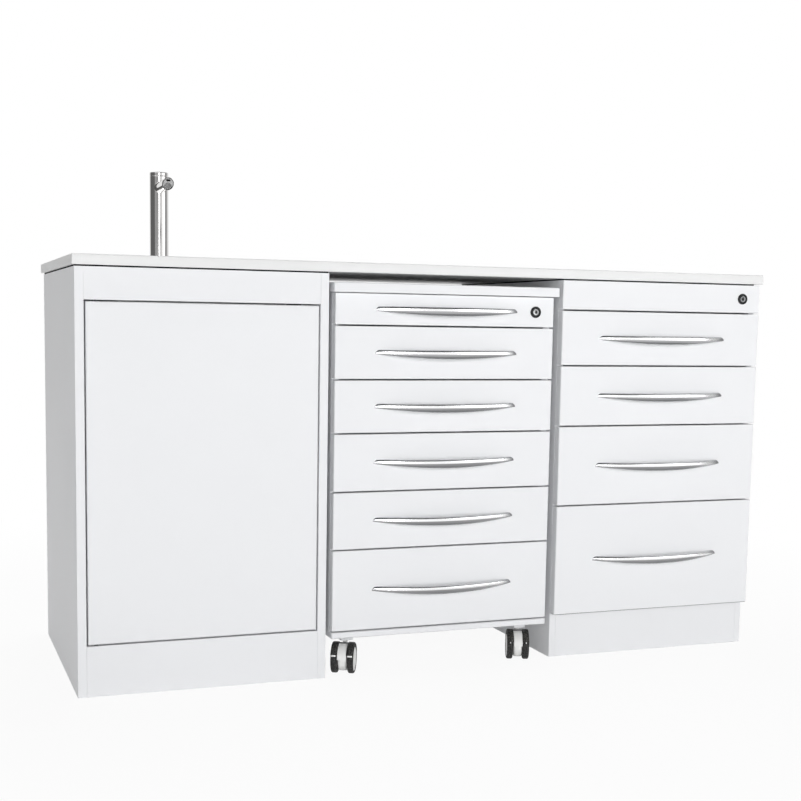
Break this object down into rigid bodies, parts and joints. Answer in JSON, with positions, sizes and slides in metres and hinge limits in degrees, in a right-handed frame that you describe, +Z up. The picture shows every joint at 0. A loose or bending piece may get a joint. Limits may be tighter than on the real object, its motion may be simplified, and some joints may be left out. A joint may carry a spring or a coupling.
{
  "type": "dental cabinet run",
  "caption": "Dental cabinet run: sink cabinet with push-open door, mobile drawer cabinet in an open bay, fixed drawer cabinet, one worktop with a tap.",
  "frame": {"origin": "on the floor, in the middle of the overall footprint", "axes": "+X runs along the fronts towards the fixed drawer cabinet, +Y goes from the fronts to the wall, +Z is up"},
  "size_m": [1.535, 0.6, 1.06],
  "materials": {
    "white_enamel": "semi-gloss white powder coat",
    "white_worktop": "smooth white solid surface",
    "satin_aluminium": "satin",
    "lock_chrome": "bright with a dark ring",
    "tap_steel": "fine brushed",
    "stainless_steel": "brushed",
    "rail_steel": "zinc plated",
    "grey_plastic": "matt dark grey",
    "grey_rubber": "matt dark grey tyres with white hubs",
    "white_plastic": "smooth white"
  },
  "bodies": {
    "cabinet_run": {"sink_cabinet": "white_enamel", "sink_cabinet_plinth": "white_enamel", "door_pivot_pins": "rail_steel", "push_latch": "grey_plastic", "sink_bowl": "stainless_steel", "sink_waste": "white_plastic", "tap": "tap_steel", "supply_pipe": "rail_steel", "worktop": "white_worktop", "drawer_cabinet": "white_enamel", "drawer_cabinet_fascia": "white_enamel", "cabinet_lock": "lock_chrome", "cabinet_fixed_rails": "rail_steel"},
    "sink_door": {"sink_door": "white_enamel"},
    "push_latch_plunger": {"push_latch_plunger": "grey_plastic"},
    "cabinet_lock_plug": {"cabinet_lock_plug": "lock_chrome"},
    "mobile_cabinet": {"mobile_cabinet": "white_enamel", "mobile_base": "white_enamel", "mobile_top": "white_enamel", "mobile_fixed_rails": "rail_steel"},
    "cabinet_drawer_4": {"cabinet_drawer_4": "white_enamel", "cabinet_drawer_4_handle": "satin_aluminium"},
    "cabinet_drawer_4_middle_rails": {"cabinet_drawer_4_middle_rails": "rail_steel"},
    "cabinet_drawer_3": {"cabinet_drawer_3": "white_enamel", "cabinet_drawer_3_handle": "satin_aluminium"},
    "cabinet_drawer_3_middle_rails": {"cabinet_drawer_3_middle_rails": "rail_steel"},
    "cabinet_drawer_2": {"cabinet_drawer_2": "white_enamel", "cabinet_drawer_2_handle": "satin_aluminium"},
    "cabinet_drawer_2_middle_rails": {"cabinet_drawer_2_middle_rails": "rail_steel"},
    "cabinet_drawer_1": {"cabinet_drawer_1": "white_enamel", "cabinet_drawer_1_handle": "satin_aluminium"},
    "cabinet_drawer_1_middle_rails": {"cabinet_drawer_1_middle_rails": "rail_steel"},
    "mobile_drawer_6": {"mobile_drawer_6": "white_enamel", "mobile_drawer_6_handle": "satin_aluminium"},
    "mobile_drawer_6_middle_rails": {"mobile_drawer_6_middle_rails": "rail_steel"},
    "mobile_drawer_5": {"mobile_drawer_5": "white_enamel", "mobile_drawer_5_handle": "satin_aluminium"},
    "mobile_drawer_5_middle_rails": {"mobile_drawer_5_middle_rails": "rail_steel"},
    "mobile_drawer_4": {"mobile_drawer_4": "white_enamel", "mobile_drawer_4_handle": "satin_aluminium"},
    "mobile_drawer_4_middle_rails": {"mobile_drawer_4_middle_rails": "rail_steel"},
    "mobile_drawer_3": {"mobile_drawer_3": "white_enamel", "mobile_drawer_3_handle": "satin_aluminium"},
    "mobile_drawer_3_middle_rails": {"mobile_drawer_3_middle_rails": "rail_steel"},
    "mobile_drawer_2": {"mobile_drawer_2": "white_enamel", "mobile_drawer_2_handle": "satin_aluminium"},
    "mobile_drawer_2_middle_rails": {"mobile_drawer_2_middle_rails": "rail_steel"},
    "mobile_drawer_1": {"mobile_drawer_1": "white_enamel", "mobile_drawer_1_handle": "satin_aluminium", "mobile_lock": "lock_chrome"},
    "mobile_drawer_1_middle_rails": {"mobile_drawer_1_middle_rails": "rail_steel"},
    "mobile_lock_plug": {"mobile_lock_plug": "lock_chrome"},
    "caster_front_left_fork": {"caster_front_left_fork": "grey_plastic"},
    "caster_front_left_wheels": {"caster_front_left_wheels": "grey_rubber"},
    "caster_front_right_fork": {"caster_front_right_fork": "grey_plastic"},
    "caster_front_right_wheels": {"caster_front_right_wheels": "grey_rubber"},
    "caster_rear_left_fork": {"caster_rear_left_fork": "grey_plastic"},
    "caster_rear_left_wheels": {"caster_rear_left_wheels": "grey_rubber"},
    "caster_rear_right_fork": {"caster_rear_right_fork": "grey_plastic"},
    "caster_rear_right_wheels": {"caster_rear_right_wheels": "grey_rubber"}
  },
  "joints": [
    {"name": "sink_door_hinge", "type": "hinge", "parent": "cabinet_run", "child": "sink_door", "pos_m": [-0.726, -0.257, 0.4325], "axis": [0, 0, -1], "range_deg": [0, 110]},
    {"name": "push_latch_press", "type": "slide", "parent": "cabinet_run", "child": "push_latch_plunger", "axis": [0, 1, 0], "range_m": [0, 0.003], "stiffness_N_per_m": 400},
    {"name": "cabinet_lock_turn", "type": "hinge", "parent": "cabinet_run", "child": "cabinet_lock_plug", "pos_m": [0.716, -0.265, 0.796], "axis": [0, -1, 0], "range_deg": [0, 90]},
    {"name": "mobile_cabinet_roll", "type": "slide", "parent": "cabinet_run", "child": "mobile_cabinet", "axis": [0, -1, 0], "range_m": [0, 0.6]},
    {"name": "cabinet_drawer_4_slide", "type": "slide", "parent": "cabinet_run", "child": "cabinet_drawer_4", "axis": [0, -1, 0], "range_m": [0, 0.42]},
    {"name": "cabinet_drawer_4_rails_slide", "type": "slide", "parent": "cabinet_run", "child": "cabinet_drawer_4_middle_rails", "axis": [0, -1, 0], "range_m": [0, 0.21]},
    {"name": "cabinet_drawer_3_slide", "type": "slide", "parent": "cabinet_run", "child": "cabinet_drawer_3", "axis": [0, -1, 0], "range_m": [0, 0.42]},
    {"name": "cabinet_drawer_3_rails_slide", "type": "slide", "parent": "cabinet_run", "child": "cabinet_drawer_3_middle_rails", "axis": [0, -1, 0], "range_m": [0, 0.21]},
    {"name": "cabinet_drawer_2_slide", "type": "slide", "parent": "cabinet_run", "child": "cabinet_drawer_2", "axis": [0, -1, 0], "range_m": [0, 0.42]},
    {"name": "cabinet_drawer_2_rails_slide", "type": "slide", "parent": "cabinet_run", "child": "cabinet_drawer_2_middle_rails", "axis": [0, -1, 0], "range_m": [0, 0.21]},
    {"name": "cabinet_drawer_1_slide", "type": "slide", "parent": "cabinet_run", "child": "cabinet_drawer_1", "axis": [0, -1, 0], "range_m": [0, 0.42]},
    {"name": "cabinet_drawer_1_rails_slide", "type": "slide", "parent": "cabinet_run", "child": "cabinet_drawer_1_middle_rails", "axis": [0, -1, 0], "range_m": [0, 0.21]},
    {"name": "mobile_drawer_6_slide", "type": "slide", "parent": "mobile_cabinet", "child": "mobile_drawer_6", "axis": [0, -1, 0], "range_m": [0, 0.42]},
    {"name": "mobile_drawer_6_rails_slide", "type": "slide", "parent": "mobile_cabinet", "child": "mobile_drawer_6_middle_rails", "axis": [0, -1, 0], "range_m": [0, 0.21]},
    {"name": "mobile_drawer_5_slide", "type": "slide", "parent": "mobile_cabinet", "child": "mobile_drawer_5", "axis": [0, -1, 0], "range_m": [0, 0.42]},
    {"name": "mobile_drawer_5_rails_slide", "type": "slide", "parent": "mobile_cabinet", "child": "mobile_drawer_5_middle_rails", "axis": [0, -1, 0], "range_m": [0, 0.21]},
    {"name": "mobile_drawer_4_slide", "type": "slide", "parent": "mobile_cabinet", "child": "mobile_drawer_4", "axis": [0, -1, 0], "range_m": [0, 0.42]},
    {"name": "mobile_drawer_4_rails_slide", "type": "slide", "parent": "mobile_cabinet", "child": "mobile_drawer_4_middle_rails", "axis": [0, -1, 0], "range_m": [0, 0.21]},
    {"name": "mobile_drawer_3_slide", "type": "slide", "parent": "mobile_cabinet", "child": "mobile_drawer_3", "axis": [0, -1, 0], "range_m": [0, 0.42]},
    {"name": "mobile_drawer_3_rails_slide", "type": "slide", "parent": "mobile_cabinet", "child": "mobile_drawer_3_middle_rails", "axis": [0, -1, 0], "range_m": [0, 0.21]},
    {"name": "mobile_drawer_2_slide", "type": "slide", "parent": "mobile_cabinet", "child": "mobile_drawer_2", "axis": [0, -1, 0], "range_m": [0, 0.42]},
    {"name": "mobile_drawer_2_rails_slide", "type": "slide", "parent": "mobile_cabinet", "child": "mobile_drawer_2_middle_rails", "axis": [0, -1, 0], "range_m": [0, 0.21]},
    {"name": "mobile_drawer_1_slide", "type": "slide", "parent": "mobile_cabinet", "child": "mobile_drawer_1", "axis": [0, -1, 0], "range_m": [0, 0.42]},
    {"name": "mobile_drawer_1_rails_slide", "type": "slide", "parent": "mobile_cabinet", "child": "mobile_drawer_1_middle_rails", "axis": [0, -1, 0], "range_m": [0, 0.21]},
    {"name": "mobile_lock_turn", "type": "hinge", "parent": "mobile_drawer_1", "child": "mobile_lock_plug", "pos_m": [0.1975, -0.265, 0.7575], "axis": [0, 1, 0], "range_deg": [0, 90]},
    {"name": "caster_front_left_swivel", "type": "hinge", "parent": "mobile_cabinet", "child": "caster_front_left_fork", "pos_m": [-0.204, -0.218, 0.075], "axis": [0, 0, 1], "continuous": true},
    {"name": "caster_front_left_roll", "type": "hinge", "parent": "caster_front_left_fork", "child": "caster_front_left_wheels", "pos_m": [-0.21308, -0.23582, 0.03], "axis": [0.891, -0.454, 0], "continuous": true},
    {"name": "caster_front_right_swivel", "type": "hinge", "parent": "mobile_cabinet", "child": "caster_front_right_fork", "pos_m": [0.196, -0.218, 0.075], "axis": [0, 0, 1], "continuous": true},
    {"name": "caster_front_right_roll", "type": "hinge", "parent": "caster_front_right_fork", "child": "caster_front_right_wheels", "pos_m": [0.18883, -0.23667, 0.03], "axis": [0.9336, -0.3584, 0], "continuous": true},
    {"name": "caster_rear_left_swivel", "type": "hinge", "parent": "mobile_cabinet", "child": "caster_rear_left_fork", "pos_m": [-0.204, 0.235, 0.075], "axis": [0, 0, 1], "continuous": true},
    {"name": "caster_rear_left_roll", "type": "hinge", "parent": "caster_rear_left_fork", "child": "caster_rear_left_wheels", "pos_m": [-0.19916, 0.21559, 0.03], "axis": [0.9703, 0.2419, 0], "continuous": true},
    {"name": "caster_rear_right_swivel", "type": "hinge", "parent": "mobile_cabinet", "child": "caster_rear_right_fork", "pos_m": [0.196, 0.235, 0.075], "axis": [0, 0, 1], "continuous": true},
    {"name": "caster_rear_right_roll", "type": "hinge", "parent": "caster_rear_right_fork", "child": "caster_rear_right_wheels", "pos_m": [0.19287, 0.21525, 0.03], "axis": [0.9877, -0.1564, 0], "continuous": true}
  ],
  "couplings": [
    {"joint": "cabinet_drawer_4_rails_slide", "follows": "cabinet_drawer_4_slide", "ratio": 0.5},
    {"joint": "cabinet_drawer_3_rails_slide", "follows": "cabinet_drawer_3_slide", "ratio": 0.5},
    {"joint": "cabinet_drawer_2_rails_slide", "follows": "cabinet_drawer_2_slide", "ratio": 0.5},
    {"joint": "cabinet_drawer_1_rails_slide", "follows": "cabinet_drawer_1_slide", "ratio": 0.5},
    {"joint": "mobile_drawer_6_rails_slide", "follows": "mobile_drawer_6_slide", "ratio": 0.5},
    {"joint": "mobile_drawer_5_rails_slide", "follows": "mobile_drawer_5_slide", "ratio": 0.5},
    {"joint": "mobile_drawer_4_rails_slide", "follows": "mobile_drawer_4_slide", "ratio": 0.5},
    {"joint": "mobile_drawer_3_rails_slide", "follows": "mobile_drawer_3_slide", "ratio": 0.5},
    {"joint": "mobile_drawer_2_rails_slide", "follows": "mobile_drawer_2_slide", "ratio": 0.5},
    {"joint": "mobile_drawer_1_rails_slide", "follows": "mobile_drawer_1_slide", "ratio": 0.5}
  ]
}
